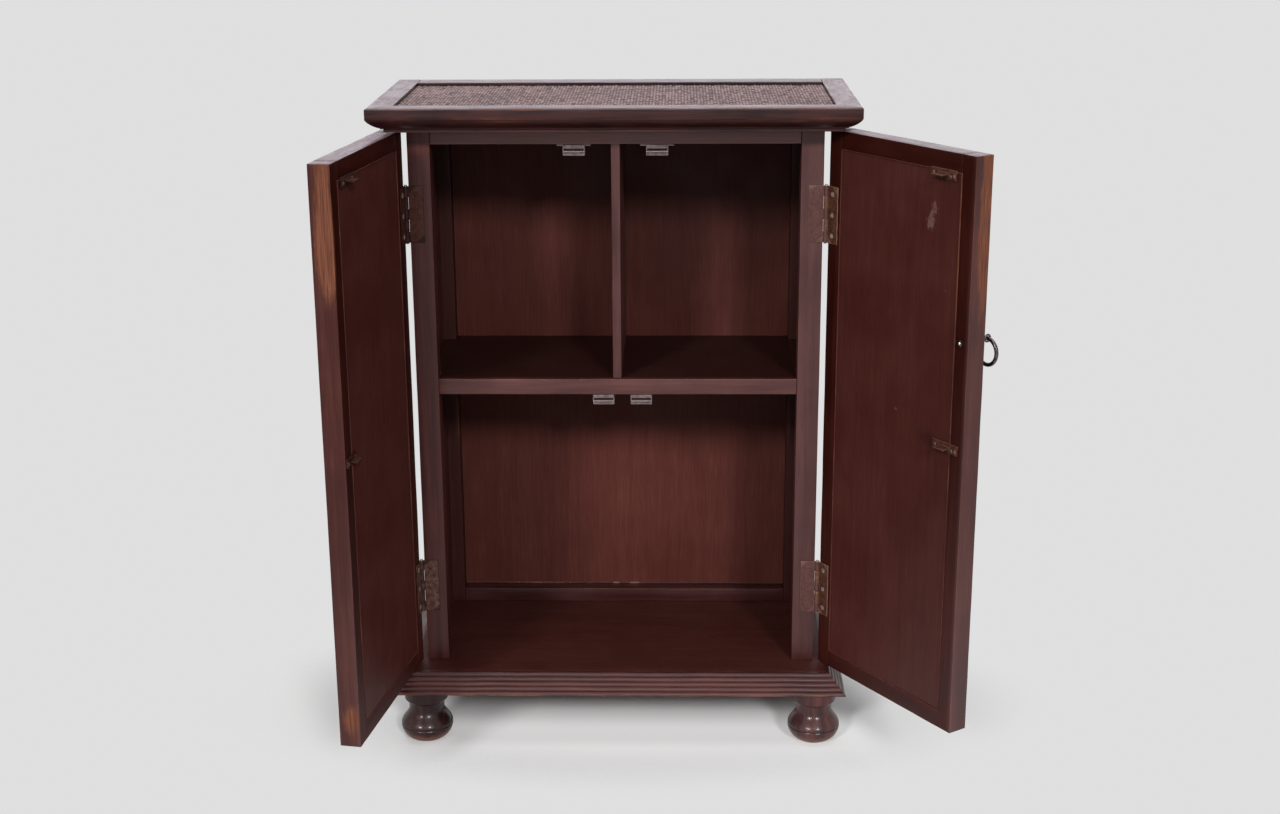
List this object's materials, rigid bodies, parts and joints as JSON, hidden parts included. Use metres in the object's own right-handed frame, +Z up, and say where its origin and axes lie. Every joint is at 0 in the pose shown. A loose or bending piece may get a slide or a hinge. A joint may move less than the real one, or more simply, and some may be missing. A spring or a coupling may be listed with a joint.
{
  "type": "cabinet",
  "caption": "Wooden cabinet with panelled swing doors, a shelf and an upright divider inside, a reeded base, turned feet and a caned top.",
  "frame": {"origin": "middle of the flat base of the front left foot, on the floor", "axes": "+Z up, -Y towards the front where the doors open, +X to the right as seen from the front"},
  "size_m": [0.824, 0.5124, 0.892],
  "materials": {
    "varnished_wood": "dark red-brown varnish, satin, worn at the edges",
    "worn_wood": "varnish rubbed through to orange-brown wood",
    "inner_wood": "thin dark red-brown stain",
    "cane": "woven cane, stained and dusty",
    "hinge_brass": "dark, tarnished",
    "catch_steel": "dulled"
  },
  "bodies": {
    "case": {"base_board": "varnished_wood", "base_moulding_front": "varnished_wood", "base_moulding_left": "varnished_wood", "base_moulding_right": "varnished_wood", "foot_front_left": "varnished_wood", "foot_front_right": "varnished_wood", "foot_rear_left": "varnished_wood", "foot_rear_right": "varnished_wood", "post_front_left": "varnished_wood", "post_front_right": "varnished_wood", "post_rear_left": "varnished_wood", "post_rear_right": "varnished_wood", "front_top_rail": "varnished_wood", "back_top_rail": "inner_wood", "back_bottom_rail": "inner_wood", "side_top_rail_left": "varnished_wood", "side_top_rail_right": "varnished_wood", "side_panel_left": "varnished_wood", "side_panel_right": "varnished_wood", "back_panel": "inner_wood", "shelf": "inner_wood", "divider": "inner_wood", "top_frame_front": "varnished_wood", "top_frame_left": "varnished_wood", "top_frame_right": "varnished_wood", "top_frame_back": "varnished_wood", "top_backing_board": "inner_wood", "cane_panel": "cane", "catch_upper_left": "catch_steel", "catch_upper_right": "catch_steel", "catch_lower_left": "catch_steel", "catch_lower_right": "catch_steel", "hinge_upper_left_post_leaf": "hinge_brass", "hinge_upper_left_pin": "hinge_brass", "hinge_lower_left_post_leaf": "hinge_brass", "hinge_lower_left_pin": "hinge_brass", "hinge_upper_right_post_leaf": "hinge_brass", "hinge_upper_right_pin": "hinge_brass", "hinge_lower_right_post_leaf": "hinge_brass", "hinge_lower_right_pin": "hinge_brass"},
    "left_door": {"left_door_hinge_stile": "varnished_wood", "left_door_lock_stile": "worn_wood", "left_door_bottom_rail": "varnished_wood", "left_door_top_rail": "varnished_wood", "left_door_panel": "inner_wood", "left_door_strike_upper": "catch_steel", "left_door_strike_lower": "catch_steel", "hinge_upper_left_door_leaf": "hinge_brass", "hinge_lower_left_door_leaf": "hinge_brass"},
    "right_door": {"right_door_hinge_stile": "varnished_wood", "right_door_lock_stile": "worn_wood", "right_door_bottom_rail": "varnished_wood", "right_door_top_rail": "varnished_wood", "right_door_panel": "inner_wood", "right_door_strike_upper": "catch_steel", "right_door_strike_lower": "catch_steel", "hinge_upper_right_door_leaf": "hinge_brass", "hinge_lower_right_door_leaf": "hinge_brass", "ring_pull_bolt": "catch_steel"},
    "ring": {"ring_pull_ring": "catch_steel"}
  },
  "joints": [
    {"name": "left_door_swing", "type": "hinge", "parent": "case", "child": "left_door", "pos_m": [-0.0025, 0.0238, 0.482], "axis": [0, 0, -1], "range_deg": [-99.5, 85.5]},
    {"name": "right_door_swing", "type": "hinge", "parent": "case", "child": "right_door", "pos_m": [0.5485, 0.0238, 0.482], "axis": [0, 0, 1], "range_deg": [-124.5, 60.5]},
    {"name": "ring_pull_swing", "type": "hinge", "parent": "right_door", "child": "ring", "pos_m": [0.73494, -0.16537, 0.627], "axis": [0.5664, -0.8241, 0], "range_deg": [-22, 150]}
  ]
}
